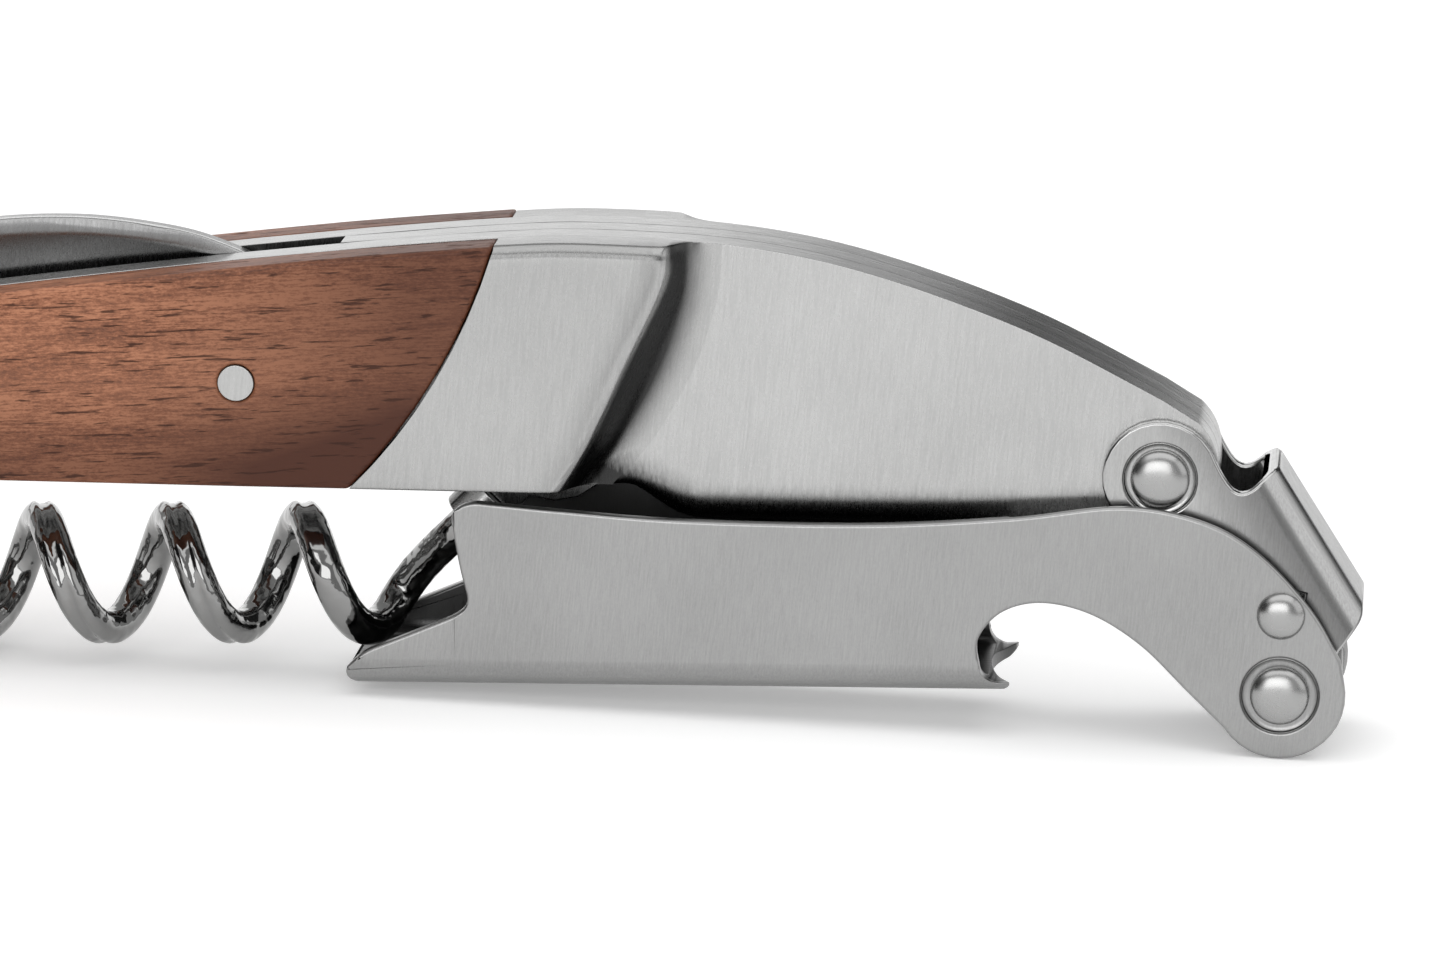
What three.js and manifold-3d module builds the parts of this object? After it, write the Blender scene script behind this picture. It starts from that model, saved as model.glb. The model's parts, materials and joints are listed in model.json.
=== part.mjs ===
// A waiter's friend corkscrew, folded shut: a three-plate steel frame with bolsters and wood scales,
// a foil knife in the frame's spine, a worm on a hub, and a two-step lever hung from a link.
//
// Everything is drawn in one side view, x to the right and z up, with the link's pivot in the head at
// the origin and the handle's underside level. y is the depth. At the end the whole group is tilted and
// lifted, so that it stands on the lever's knuckle and the worm, with its origin at the middle of its
// base.

import * as THREE from 'three';
import { mergeVertices } from 'three/addons/utils/BufferGeometryUtils.js';
import Module from 'manifold-3d';

// Driving dimensions, in millimetres.
const PLATE = 2.2; // pitch of the three frame plates
const SEAM = 0.02; // gap left between faces that touch
const SCALE = 3.0; // thickness of a scale or bolster
const SHEET = 0.9; // thickness of the link's and lever's sheet steel
const LINK_INSIDE = 3.4; // half the gap between the link's ears
const LEVER_INSIDE = 4.65; // half the gap between the lever's plates
const LINK_BEND = 2.1; // outside radius of the link's bends
const LEVER_BEND = 1.9; // outside radius of the lever's bends
const PIN_RADIUS = 1.1; // scale pins, ground flush
const RIVET_RADIUS = 1.4; // shanks of the link's and lever's pivot rivets
const RIVET_HEAD = 1.78;
const STOP_RADIUS = 1.0; // shank of the lever's stop pin
const STOP_HEAD = 1.45;
const HEAD_HEIGHT = 0.8; // of every domed head
const RUNNING_GAP = 0.04; // radial clearance of a turning pin
const FIXED_GAP = 0.01; // radial clearance of a fixed pin
const FACETS = 32; // sides of a pin
const STEPS = 8; // steps along a curved stretch of an outline

// Places in the side view.
const LINK_PIVOT = new THREE.Vector2(0, 0);
const LEVER_PIVOT = new THREE.Vector2(7.4, -12.9);
const STOP_PIN = new THREE.Vector2(7.4, -7.95);
const WORM_PIVOT = new THREE.Vector2(-37, 0.95);
const KNIFE_PIVOT = new THREE.Vector2(-99.5, 2.7);
const SCALE_PINS = [new THREE.Vector2(-55.7, 5.15), new THREE.Vector2(-77.6, 3.7)];
const BOLSTER_PINS = [new THREE.Vector2(-34.5, 10.2), new THREE.Vector2(-42.6, 4.2)];
const HANDLE_BOTTOM = -1.28;
const HEAD_BOTTOM = -3.5;
const KNUCKLE_RADIUS = 3.95;
const TOE = new THREE.Vector2(-48.5, -13.0); // centre of the toe's round nose
const TOE_RADIUS = 0.85;

const FRAME_HALF = 1.5 * PLATE;
const HANDLE_HALF = FRAME_HALF + SCALE;
const LINK_HALF = LINK_INSIDE + SHEET;
const LEVER_HALF = LEVER_INSIDE + SHEET;

const wasm = await Module();
wasm.setup();

const corkscrew = new THREE.Group();

const STEEL = { color: 0xb9b9b7, roughness: 0.36, metalness: 1 };
const POLISHED = { color: 0xd6d6d6, roughness: 0.1, metalness: 1 };
const ROSEWOOD = { color: 0x6a3a22, roughness: 0.5, metalness: 0 };

function add(name, geometry, finish) {
  const mesh = new THREE.Mesh(geometry, new THREE.MeshStandardMaterial(finish));
  mesh.name = name;
  corkscrew.add(mesh);
}

// Solids and booleans.

// Drops the doubled points where one stretch of an outline meets the next.
function distinct(points) {
  return points.filter((point, i) => point.distanceTo(points.at(i - 1)) > 1e-3);
}

function extrude(shape, depth, steps = STEPS) {
  const { shape: rim, holes } = shape.extractPoints(steps);
  const clean = new THREE.Shape(distinct(rim));
  clean.holes = holes.map((hole) => new THREE.Path(distinct(hole)));
  return new THREE.ExtrudeGeometry(clean, { depth, bevelEnabled: false });
}

// A side-view outline given its thickness, from yLow to yHigh.
function slab(shape, yLow, yHigh) {
  const geometry = extrude(shape, yHigh - yLow);
  geometry.rotateX(Math.PI / 2);
  geometry.translate(0, yHigh, 0);
  return geometry;
}

// A round bar along y.
function bar(centre, radius, yLow, yHigh) {
  const geometry = new THREE.CylinderGeometry(radius, radius, yHigh - yLow, FACETS);
  geometry.translate(centre.x, (yLow + yHigh) / 2, centre.y);
  return geometry;
}

function solid(geometry) {
  const bare = geometry.clone();
  bare.deleteAttribute('normal');
  bare.deleteAttribute('uv');
  const merged = mergeVertices(bare, 1e-4);
  const vertProperties = new Float32Array(merged.attributes.position.array);
  const triVerts = new Uint32Array(merged.index.array);
  return new wasm.Manifold(new wasm.Mesh({ numProp: 3, vertProperties, triVerts }));
}

function geometryOf(manifold) {
  const mesh = manifold.getMesh();
  const geometry = new THREE.BufferGeometry();
  geometry.setAttribute('position', new THREE.BufferAttribute(mesh.vertProperties, 3));
  geometry.setIndex(new THREE.BufferAttribute(mesh.triVerts, 1));
  geometry.computeVertexNormals();
  return geometry;
}

// Outlines.

function loop(points) {
  return new THREE.Shape(points.map(([x, z]) => new THREE.Vector2(x, z)));
}

function curveThrough(shape, points) {
  shape.splineThru(points.map(([x, z]) => new THREE.Vector2(x, z)));
}

// Cuts a round hole whose flats clear a pin of this radius by the gap.
function drill(shape, centre, radius, gap) {
  const corner = (radius + gap) / Math.cos(Math.PI / FACETS);
  const hole = new THREE.Path();
  for (let i = 0; i < FACETS; i += 1) {
    const angle = (2 * Math.PI * i) / FACETS;
    const point = [centre.x + corner * Math.cos(angle), centre.y + corner * Math.sin(angle)];
    if (i === 0) hole.moveTo(...point);
    else hole.lineTo(...point);
  }
  hole.closePath();
  shape.holes.push(hole);
}

// The frame: three plates riveted through, with a round tail and a round head.

// The handle's top edge, from near the tail to above the link's pivot.
const SPINE = [
  [-88, 7.75],
  [-70, 10.4],
  [-52, 12.65],
  [-40, 13.8],
  [-33.5, 14.0],
  [-25, 13.5],
  [-17.2, 11.9],
  [-8, 8.65],
  [0, 4.65],
];
const TAIL = { x: -101.4, z: 2.35, radius: 3.5 };
const SLOT_END = { x: -50, top: 12.88, foot: 8.2 }; // where the knife's slot ends in the spine
const SLOT_FLOOR = [[-60, 6.6], [-75, 5.6], [-86, 3.2], [-95.8, 0.3]];
const UNDERSIDE_START = -60; // from here to the head the underside is level
const WORM_POCKET = 5.1; // radius of the pocket that the worm's hub turns in

// The head, from where its underside starts to drop below the handle's.
function headFrom(shape, start) {
  shape.lineTo(start, HANDLE_BOTTOM);
  shape.bezierCurveTo(start + 1.2, HANDLE_BOTTOM, start + 2.2, HEAD_BOTTOM, start + 4.8, HEAD_BOTTOM);
  shape.lineTo(LINK_PIVOT.x, HEAD_BOTTOM);
  shape.absarc(LINK_PIVOT.x, LINK_PIVOT.y, -HEAD_BOTTOM, -Math.PI / 2, 0.15, false);
  shape.quadraticCurveTo(3.4, 2.2, 2.2, 3.3);
  shape.lineTo(SPINE[SPINE.length - 1][0], SPINE[SPINE.length - 1][1]);
}

function sidePlateOutline() {
  const shape = new THREE.Shape();
  shape.moveTo(TAIL.x, TAIL.z - TAIL.radius);
  shape.lineTo(UNDERSIDE_START, HANDLE_BOTTOM);
  headFrom(shape, -32.4);
  curveThrough(shape, SPINE.slice(0, -1).reverse());
  shape.lineTo(TAIL.x, TAIL.z + TAIL.radius);
  shape.absarc(TAIL.x, TAIL.z, TAIL.radius, Math.PI / 2, 1.5 * Math.PI, false);
  for (const pin of [...SCALE_PINS, ...BOLSTER_PINS]) drill(shape, pin, PIN_RADIUS, FIXED_GAP);
  drill(shape, KNIFE_PIVOT, PIN_RADIUS, FIXED_GAP);
  drill(shape, WORM_PIVOT, PIN_RADIUS, FIXED_GAP);
  drill(shape, LINK_PIVOT, RIVET_RADIUS, RUNNING_GAP);
  return shape;
}

// The centre plate is the knife's back spring: it ends short of the tang and dips under the blade.
function centrePlateOutline() {
  const shape = new THREE.Shape();
  shape.moveTo(SLOT_FLOOR.at(-1)[0], TAIL.z - TAIL.radius);
  shape.lineTo(UNDERSIDE_START, HANDLE_BOTTOM);
  shape.lineTo(WORM_PIVOT.x - WORM_POCKET, HANDLE_BOTTOM);
  shape.lineTo(WORM_PIVOT.x - WORM_POCKET, WORM_PIVOT.y);
  shape.absarc(WORM_PIVOT.x, WORM_PIVOT.y, WORM_POCKET, Math.PI, 0, true);
  shape.lineTo(WORM_PIVOT.x + WORM_POCKET, HANDLE_BOTTOM);
  headFrom(shape, -31.6); // clear of the worm's pocket
  curveThrough(shape, [...SPINE.slice(3, -1).reverse(), [SLOT_END.x, SLOT_END.top]]);
  shape.lineTo(SLOT_END.x, SLOT_END.foot);
  shape.quadraticCurveTo(SLOT_END.x, 7.0, -51.4, 6.9);
  curveThrough(shape, SLOT_FLOOR);
  for (const pin of [...SCALE_PINS, ...BOLSTER_PINS]) drill(shape, pin, PIN_RADIUS, FIXED_GAP);
  drill(shape, LINK_PIVOT, RIVET_RADIUS, RUNNING_GAP);
  return shape;
}

add('front_frame_plate', slab(sidePlateOutline(), -FRAME_HALF, -PLATE / 2 - SEAM), STEEL);
add('centre_frame_plate', slab(centrePlateOutline(), -PLATE / 2, PLATE / 2), STEEL);
add('rear_frame_plate', slab(sidePlateOutline(), PLATE / 2 + SEAM, FRAME_HALF), STEEL);

// Bolsters and scales, riveted to the outside of the frame. They meet along a curve that bulges
// towards the head, and the bolster ends in a wide bevel down to the frame.

const JOINT_TOP = [-40, 13.8];
const JOINT_BULGE = [-42.7, 5.2];
const JOINT_BOTTOM = [-48.9, HANDLE_BOTTOM];
const BEVEL_TOP_EDGE = [
  [-29.9, 13.88],
  [-29.75, 12.4],
  [-30.5, 10.3],
  [-32.4, 6.4],
  [-34.5, 1.7],
  [-36.2, HANDLE_BOTTOM],
];
const BEVEL_FOOT = [
  [-28.9, 13.85],
  [-29.0, 12.2],
  [-29.3, 10.1],
  [-30.7, 5.9],
  [-33.1, 1.6],
  [-35.6, HANDLE_BOTTOM],
];

function bolsterOutline(end) {
  const shape = new THREE.Shape();
  shape.moveTo(...JOINT_BOTTOM);
  shape.lineTo(...end[end.length - 1]);
  curveThrough(shape, end.slice(0, -1).reverse());
  curveThrough(shape, [[-33.5, 14.0], JOINT_TOP]);
  shape.quadraticCurveTo(...JOINT_BULGE, ...JOINT_BOTTOM);
  return shape;
}

function scaleOutline() {
  const shape = new THREE.Shape();
  shape.moveTo(TAIL.x, TAIL.z - TAIL.radius);
  shape.lineTo(UNDERSIDE_START, HANDLE_BOTTOM);
  shape.lineTo(JOINT_BOTTOM[0] - SEAM, JOINT_BOTTOM[1]);
  shape.quadraticCurveTo(JOINT_BULGE[0] - SEAM, JOINT_BULGE[1], JOINT_TOP[0] - SEAM, JOINT_TOP[1]);
  curveThrough(shape, SPINE.slice(0, 3).reverse());
  shape.lineTo(TAIL.x, TAIL.z + TAIL.radius);
  shape.absarc(TAIL.x, TAIL.z, TAIL.radius, Math.PI / 2, 1.5 * Math.PI, false);
  for (const pin of SCALE_PINS) drill(shape, pin, PIN_RADIUS, FIXED_GAP);
  drill(shape, KNIFE_PIVOT, PIN_RADIUS, FIXED_GAP);
  return shape;
}

// A solid between two outlines with the same number of points, one at each end of its thickness.
function loft(lowShape, yLow, highShape, yHigh) {
  const low = distinct(lowShape.getPoints(STEPS));
  const high = distinct(highShape.getPoints(STEPS));
  const positions = [];
  for (const p of low) positions.push(p.x, yLow, p.y);
  for (const p of high) positions.push(p.x, yHigh, p.y);
  const index = [];
  const count = low.length;
  for (const [a, b, c] of THREE.ShapeUtils.triangulateShape(low, [])) index.push(a, b, c);
  for (const [a, b, c] of THREE.ShapeUtils.triangulateShape(high, [])) {
    index.push(count + a, count + c, count + b);
  }
  for (let i = 0; i < count; i += 1) {
    const j = (i + 1) % count;
    index.push(i, count + j, j, i, count + i, count + j);
  }
  const geometry = new THREE.BufferGeometry();
  geometry.setAttribute('position', new THREE.Float32BufferAttribute(positions, 3));
  geometry.setIndex(index);
  return geometry;
}

const PIN_DEPTH = HANDLE_HALF - 0.8; // the bolster pins and the worm's pin end inside the bolsters

function bolster(side) {
  const inner = side * (FRAME_HALF + SEAM);
  const outer = side * HANDLE_HALF;
  const foot = bolsterOutline(BEVEL_FOOT);
  const edge = bolsterOutline(BEVEL_TOP_EDGE);
  let body = solid(side < 0 ? loft(edge, outer, foot, inner) : loft(foot, inner, edge, outer));
  const hole = (PIN_RADIUS + FIXED_GAP) / Math.cos(Math.PI / FACETS);
  const depth = PIN_DEPTH + SEAM;
  for (const centre of [...BOLSTER_PINS, WORM_PIVOT]) {
    body = body.subtract(solid(bar(centre, hole, -depth, depth)));
  }
  return geometryOf(body);
}

add('front_bolster', bolster(-1), STEEL);
add('rear_bolster', bolster(1), STEEL);
add('front_scale', slab(scaleOutline(), -HANDLE_HALF, -FRAME_HALF - SEAM), ROSEWOOD);
add('rear_scale', slab(scaleOutline(), FRAME_HALF + SEAM, HANDLE_HALF), ROSEWOOD);

add('scale_pin_middle', bar(SCALE_PINS[0], PIN_RADIUS, -HANDLE_HALF, HANDLE_HALF), STEEL);
add('scale_pin_tail', bar(SCALE_PINS[1], PIN_RADIUS, -HANDLE_HALF, HANDLE_HALF), STEEL);
add('knife_pivot_pin', bar(KNIFE_PIVOT, PIN_RADIUS, -HANDLE_HALF, HANDLE_HALF), STEEL);
add('bolster_pin_upper', bar(BOLSTER_PINS[0], PIN_RADIUS, -PIN_DEPTH, PIN_DEPTH), STEEL);
add('bolster_pin_lower', bar(BOLSTER_PINS[1], PIN_RADIUS, -PIN_DEPTH, PIN_DEPTH), STEEL);
add('worm_pivot_pin', bar(WORM_PIVOT, PIN_RADIUS, -PIN_DEPTH, PIN_DEPTH), STEEL);

// The foil knife lies in the slot between the side plates, spine up, hinged at the tail.

const BLADE_THICKNESS = 1.9;
const TANG_RADIUS = 3.2;
const KNIFE_EDGE = [[-94.2, 2.9], [-88, 5.2], [-78, 7.6], [-66, 8.6], [-57.5, 8.3], [-52.4, 9.0]];
const KNIFE_BACK = [
  [-54.0, 10.9],
  [-57.5, 12.55],
  [-61, 13.45],
  [-66.5, 13.98],
  [-73, 13.55],
  [-82, 11.9],
  [-91, 9.1],
  [-97.5, 6.8],
];

function knifeOutline() {
  const shape = new THREE.Shape();
  shape.absarc(KNIFE_PIVOT.x, KNIFE_PIVOT.y, TANG_RADIUS, 0.6 * Math.PI, 1.75 * Math.PI, false);
  curveThrough(shape, KNIFE_EDGE);
  curveThrough(shape, KNIFE_BACK);
  drill(shape, KNIFE_PIVOT, PIN_RADIUS, RUNNING_GAP);
  return shape;
}

add('knife_blade', slab(knifeOutline(), -BLADE_THICKNESS / 2, BLADE_THICKNESS / 2), POLISHED);

// The worm turns down out of the handle on a flat eye in the centre plate's pocket. A round socket
// below the frame holds the end of its wire.

const EYE_RADIUS = 3.9;
const EYE_THICKNESS = 2.1;
const NECK_HALF = 1.5; // half the width of the neck between the eye and the socket
const NECK_START = 2.5;
const SOCKET = { radius: 1.85, bore: 1.25, start: 5.2, end: 7.6, floor: 5.9 };
const SOCKET_DIRECTION = new THREE.Vector3(-Math.SQRT1_2, 0, -Math.SQRT1_2); // from the pivot, folded

// A round bar along the socket's direction, between two distances from the worm's pivot.
function socketBar(radius, from, to) {
  const geometry = new THREE.CylinderGeometry(radius, radius, to - from, FACETS);
  geometry.translate(0, (from + to) / 2, 0);
  const turn = new THREE.Quaternion().setFromUnitVectors(new THREE.Vector3(0, 1, 0), SOCKET_DIRECTION);
  geometry.applyQuaternion(turn);
  geometry.translate(WORM_PIVOT.x, 0, WORM_PIVOT.y);
  return solid(geometry);
}

function wormHub() {
  const eye = new THREE.Shape();
  eye.absarc(WORM_PIVOT.x, WORM_PIVOT.y, EYE_RADIUS, 0, 2 * Math.PI, false);
  drill(eye, WORM_PIVOT, PIN_RADIUS, RUNNING_GAP);
  const along = new THREE.Vector2(SOCKET_DIRECTION.x, SOCKET_DIRECTION.z);
  const across = new THREE.Vector2(-along.y, along.x).multiplyScalar(NECK_HALF);
  const start = along.clone().multiplyScalar(NECK_START).add(WORM_PIVOT);
  const end = along.clone().multiplyScalar(SOCKET.floor - 0.3).add(WORM_PIVOT);
  const neck = new THREE.Shape([
    start.clone().sub(across),
    end.clone().sub(across),
    end.clone().add(across),
    start.clone().add(across),
  ]);
  const half = EYE_THICKNESS / 2;
  return geometryOf(
    solid(slab(eye, -half, half))
      .add(solid(slab(neck, -half, half)))
      .add(socketBar(SOCKET.radius, SOCKET.start, SOCKET.end))
      .subtract(socketBar(SOCKET.bore, SOCKET.floor, SOCKET.end + 1)),
  );
}

add('worm_hub', wormHub(), STEEL);

const WORM = {
  wire: 1.1, // radius of the wire
  radius: 3.4, // of its centre line
  pitch: 8.15,
  turns: 5,
  end: new THREE.Vector3(-48.35, 0, -7.9), // on the axis, at the last low point of the wire
  slope: THREE.MathUtils.degToRad(1.4), // the axis drops towards the tip
  perTurn: 16, // steps along one turn
  sides: 12,
};

// The wire's centre line: a right-handed helix from the tip, then a bend up into the hub's socket.
function wormLine() {
  const points = [];
  const overrun = 0.12; // turns past the last low point before the wire leaves the helix
  const curl = 0.35; // how far the tip curls inwards, as a share of the radius
  const steps = Math.round((WORM.turns + overrun) * WORM.perTurn);
  for (let i = 0; i <= steps; i += 1) {
    const turn = (i / steps) * (WORM.turns + overrun) - WORM.turns;
    const angle = 2 * Math.PI * turn - Math.PI / 2;
    const lastTurn = Math.max(0, 1 - WORM.turns - turn);
    const radial = WORM.radius * (1 - curl * lastTurn ** 2);
    points.push(new THREE.Vector3(WORM.pitch * turn, radial * Math.cos(angle), radial * Math.sin(angle)));
  }
  for (const point of points) {
    point.applyAxisAngle(new THREE.Vector3(0, -1, 0), WORM.slope);
    point.add(WORM.end);
  }
  const last = points[points.length - 1];
  const tangent = last.clone().sub(points[points.length - 2]).normalize();
  const alongSocket = (distance) => {
    const point = SOCKET_DIRECTION.clone().multiplyScalar(distance);
    return point.add(new THREE.Vector3(WORM_PIVOT.x, 0, WORM_PIVOT.y));
  };
  const bend = new THREE.CubicBezierCurve3(
    last,
    last.clone().addScaledVector(tangent, 3.0),
    alongSocket(SOCKET.end + 2.6),
    alongSocket(SOCKET.end + 0.2),
  );
  return [...points, ...bend.getPoints(9).slice(1), alongSocket(SOCKET.floor + 0.05)];
}

// A closed round tube along a list of points, with its own radius at each.
function tube(points, radii, sides) {
  const positions = [];
  const index = [];
  let normal = new THREE.Vector3(0, 0, 1);
  points.forEach((point, i) => {
    const before = points[Math.max(i - 1, 0)];
    const after = points[Math.min(i + 1, points.length - 1)];
    const tangent = after.clone().sub(before).normalize();
    normal = normal.clone().addScaledVector(tangent, -normal.dot(tangent)).normalize();
    const binormal = tangent.clone().cross(normal);
    for (let k = 0; k < sides; k += 1) {
      const angle = (2 * Math.PI * k) / sides;
      const vertex = point.clone().addScaledVector(normal, radii[i] * Math.cos(angle));
      vertex.addScaledVector(binormal, radii[i] * Math.sin(angle));
      positions.push(vertex.x, vertex.y, vertex.z);
    }
  });
  const ring = (i, k) => i * sides + (k % sides);
  for (let i = 0; i < points.length - 1; i += 1) {
    for (let k = 0; k < sides; k += 1) {
      index.push(ring(i, k), ring(i, k + 1), ring(i + 1, k + 1));
      index.push(ring(i, k), ring(i + 1, k + 1), ring(i + 1, k));
    }
  }
  const end = points.length - 1;
  for (let k = 1; k < sides - 1; k += 1) {
    index.push(ring(0, 0), ring(0, k + 1), ring(0, k));
    index.push(ring(end, 0), ring(end, k), ring(end, k + 1));
  }
  const geometry = new THREE.BufferGeometry();
  geometry.setAttribute('position', new THREE.Float32BufferAttribute(positions, 3));
  geometry.setIndex(index);
  return geometry;
}

function worm() {
  const points = wormLine();
  const taper = 0.9 * WORM.perTurn; // rings over which the wire comes to a point
  const point = 0.12; // the point's radius, as a share of the wire's
  const radii = points.map((_, i) => WORM.wire * Math.min(1, point + (1 - point) * (i / taper)));
  return tube(points, radii, WORM.sides);
}

add('worm_spiral', worm(), POLISHED);

// Sheet-steel channels. The section is a U open upwards, drawn from the outside of its web.

function channel(half, bend, length, height) {
  const shape = new THREE.Shape();
  shape.moveTo(-half, height);
  shape.lineTo(-half, bend);
  shape.absarc(-half + bend, bend, bend, Math.PI, 1.5 * Math.PI, false);
  shape.lineTo(half - bend, 0);
  shape.absarc(half - bend, bend, bend, 1.5 * Math.PI, 2 * Math.PI, false);
  shape.lineTo(half, height);
  shape.lineTo(half - SHEET, height);
  shape.absarc(half - bend, bend, bend - SHEET, 0, -Math.PI / 2, true);
  shape.absarc(-half + bend, bend, bend - SHEET, -Math.PI / 2, -Math.PI, true);
  shape.lineTo(-half + SHEET, height);
  const geometry = extrude(shape, length, STEPS / 2);
  const lie = new THREE.Matrix4().makeBasis(
    new THREE.Vector3(0, 1, 0),
    new THREE.Vector3(0, 0, 1),
    new THREE.Vector3(1, 0, 0),
  );
  geometry.applyMatrix4(lie);
  return geometry;
}

function bothSides(shape, yLow, yHigh) {
  return solid(slab(shape, yLow, yHigh)).add(solid(slab(shape, -yHigh, -yLow)));
}

// The link: two ears joined by a web on the head's side. Its lower ears carry the lever, and each has
// an open arc slot in which the lever's stop pin travels.

const LINK_WEB = { bottom: new THREE.Vector2(12.05, -7.35), top: new THREE.Vector2(7.1, 0.5) };
const EAR_RADIUS = 3.5;
const LOWER_EAR_RADIUS = 3.78;
const SLOT = { inner: LOWER_EAR_RADIUS, outer: 6.15, stop: THREE.MathUtils.degToRad(76.8) };

function linkOutline() {
  const shape = new THREE.Shape();
  shape.absarc(LINK_PIVOT.x, LINK_PIVOT.y, EAR_RADIUS, 1.27 * Math.PI, 0.1 * Math.PI, true);
  shape.bezierCurveTo(4.0, -0.3, 4.5, -1.0, 5.2, -0.72);
  shape.bezierCurveTo(5.9, -0.45, 6.4, 0.5, LINK_WEB.top.x, LINK_WEB.top.y);
  shape.lineTo(LINK_WEB.bottom.x, LINK_WEB.bottom.y);
  shape.quadraticCurveTo(12.55, -8.2, 11.95, -8.95);
  shape.lineTo(10.9, -10.4);
  const { x, y } = LEVER_PIVOT;
  shape.absarc(x, y, LOWER_EAR_RADIUS, 0.17 * Math.PI, SLOT.stop - 2 * Math.PI, true);
  const stopX = Math.cos(SLOT.stop);
  const stopZ = Math.sin(SLOT.stop);
  shape.lineTo(LEVER_PIVOT.x + SLOT.outer * stopX, LEVER_PIVOT.y + SLOT.outer * stopZ);
  shape.absarc(LEVER_PIVOT.x, LEVER_PIVOT.y, SLOT.outer, SLOT.stop, 0.79 * Math.PI, false);
  drill(shape, LINK_PIVOT, RIVET_RADIUS, FIXED_GAP);
  drill(shape, LEVER_PIVOT, RIVET_RADIUS, RUNNING_GAP);
  return shape;
}

function link() {
  const web = LINK_WEB.top.clone().sub(LINK_WEB.bottom);
  const spare = 2 * EAR_RADIUS; // the outline trims the channel at both ends
  const section = channel(LINK_HALF, LINK_BEND, web.length() + 2 * spare, 2 * LINK_BEND);
  section.translate(-spare, 0, 0);
  section.rotateY(-web.angle());
  section.translate(LINK_WEB.bottom.x, 0, LINK_WEB.bottom.y);
  const along = web.clone().normalize();
  const inward = new THREE.Vector2(-along.y, along.x).multiplyScalar(LINK_BEND);
  const bendFoot = LINK_WEB.bottom.clone().addScaledVector(along, -spare).add(inward);
  const bendTop = LINK_WEB.top.clone().addScaledVector(along, spare).add(inward);
  const ears = new THREE.Shape([
    bendTop,
    new THREE.Vector2(-6, bendTop.y),
    new THREE.Vector2(-6, -20),
    new THREE.Vector2(bendFoot.x, -20),
    bendFoot,
  ]);
  return geometryOf(
    bothSides(ears, LINK_INSIDE, LINK_HALF)
      .add(solid(section))
      .intersect(solid(slab(linkOutline(), -LINK_HALF - 1, LINK_HALF + 1))),
  );
}

add('link', link(), POLISHED);

// The lever: a boot-shaped channel with its web along the bottom, from the toe, which rests on the
// bottle's rim, to the two prongs that lift a crown cap. Past the prongs the plates arch to the knuckle.

const WEB_SLOPE = THREE.MathUtils.degToRad(0.75); // the web rises towards the prongs
const PRONG_TIP = -8.9;
const NOTCH_DEPTH = 1.35;
const LEVER_TOP = [
  [-36.4, -2.48],
  [-29, -2.93],
  [-18, -2.95],
  [-9, -2.35],
  [-2.2, -1.5],
  [2.6, -2.3],
  [6, -4.2],
  [9.2, -7.6],
  [11.0, -10.7],
];
const LEVER_ARCH = [
  [1.8, -12.8],
  [-1.0, -10.05],
  [-4.0, -8.2],
  [-7.0, -7.55],
  [-9.4, -8.2],
  [-10.8, -9.9],
  [-10.7, -11.7],
];

function leverOutline() {
  const shape = new THREE.Shape();
  shape.absarc(TOE.x, TOE.y, TOE_RADIUS, 1.5 * Math.PI, 0.78 * Math.PI, true);
  curveThrough(shape, [[-48.2, -11.6], [-46.4, -10.8], [-43.2, -9.45]]);
  shape.bezierCurveTo(-42.2, -9.0, -41.7, -8.6, -41.85, -7.9);
  curveThrough(shape, [[-42.3, -6.0], [-42.75, -3.4]]);
  shape.bezierCurveTo(-42.85, -2.6, -42.2, -2.15, -41.2, -2.1);
  curveThrough(shape, LEVER_TOP);
  shape.absarc(LEVER_PIVOT.x, LEVER_PIVOT.y, KNUCKLE_RADIUS, 0.07 * Math.PI, -0.82 * Math.PI, true);
  curveThrough(shape, LEVER_ARCH);
  shape.bezierCurveTo(-10.6, -12.3, -10.1, -12.62, -9.6, -12.66);
  shape.lineTo(PRONG_TIP, -12.62);
  shape.lineTo(PRONG_TIP, -12.95);
  const webEnd = TOE.y - TOE_RADIUS + (PRONG_TIP - TOE.x) * Math.tan(WEB_SLOPE);
  shape.quadraticCurveTo(PRONG_TIP, webEnd, PRONG_TIP - 0.5, webEnd);
  shape.lineTo(TOE.x, TOE.y - TOE_RADIUS);
  drill(shape, LEVER_PIVOT, RIVET_RADIUS, FIXED_GAP);
  drill(shape, STOP_PIN, STOP_RADIUS, FIXED_GAP);
  return shape;
}

// What the cap lifter's notch and the open arch take out of the web, seen from above.
function webEndCut() {
  const chord = LEVER_INSIDE + 0.25; // into the plates, so that no sliver stays beside them
  const radius = (chord ** 2 + NOTCH_DEPTH ** 2) / (2 * NOTCH_DEPTH);
  const spread = Math.asin(chord / radius);
  const shape = new THREE.Shape();
  shape.absarc(PRONG_TIP - NOTCH_DEPTH + radius, 0, radius, Math.PI + spread, Math.PI - spread, true);
  shape.lineTo(14, chord);
  shape.lineTo(14, -chord);
  const geometry = extrude(shape, 20);
  geometry.translate(0, 0, -20);
  return solid(geometry);
}

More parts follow.
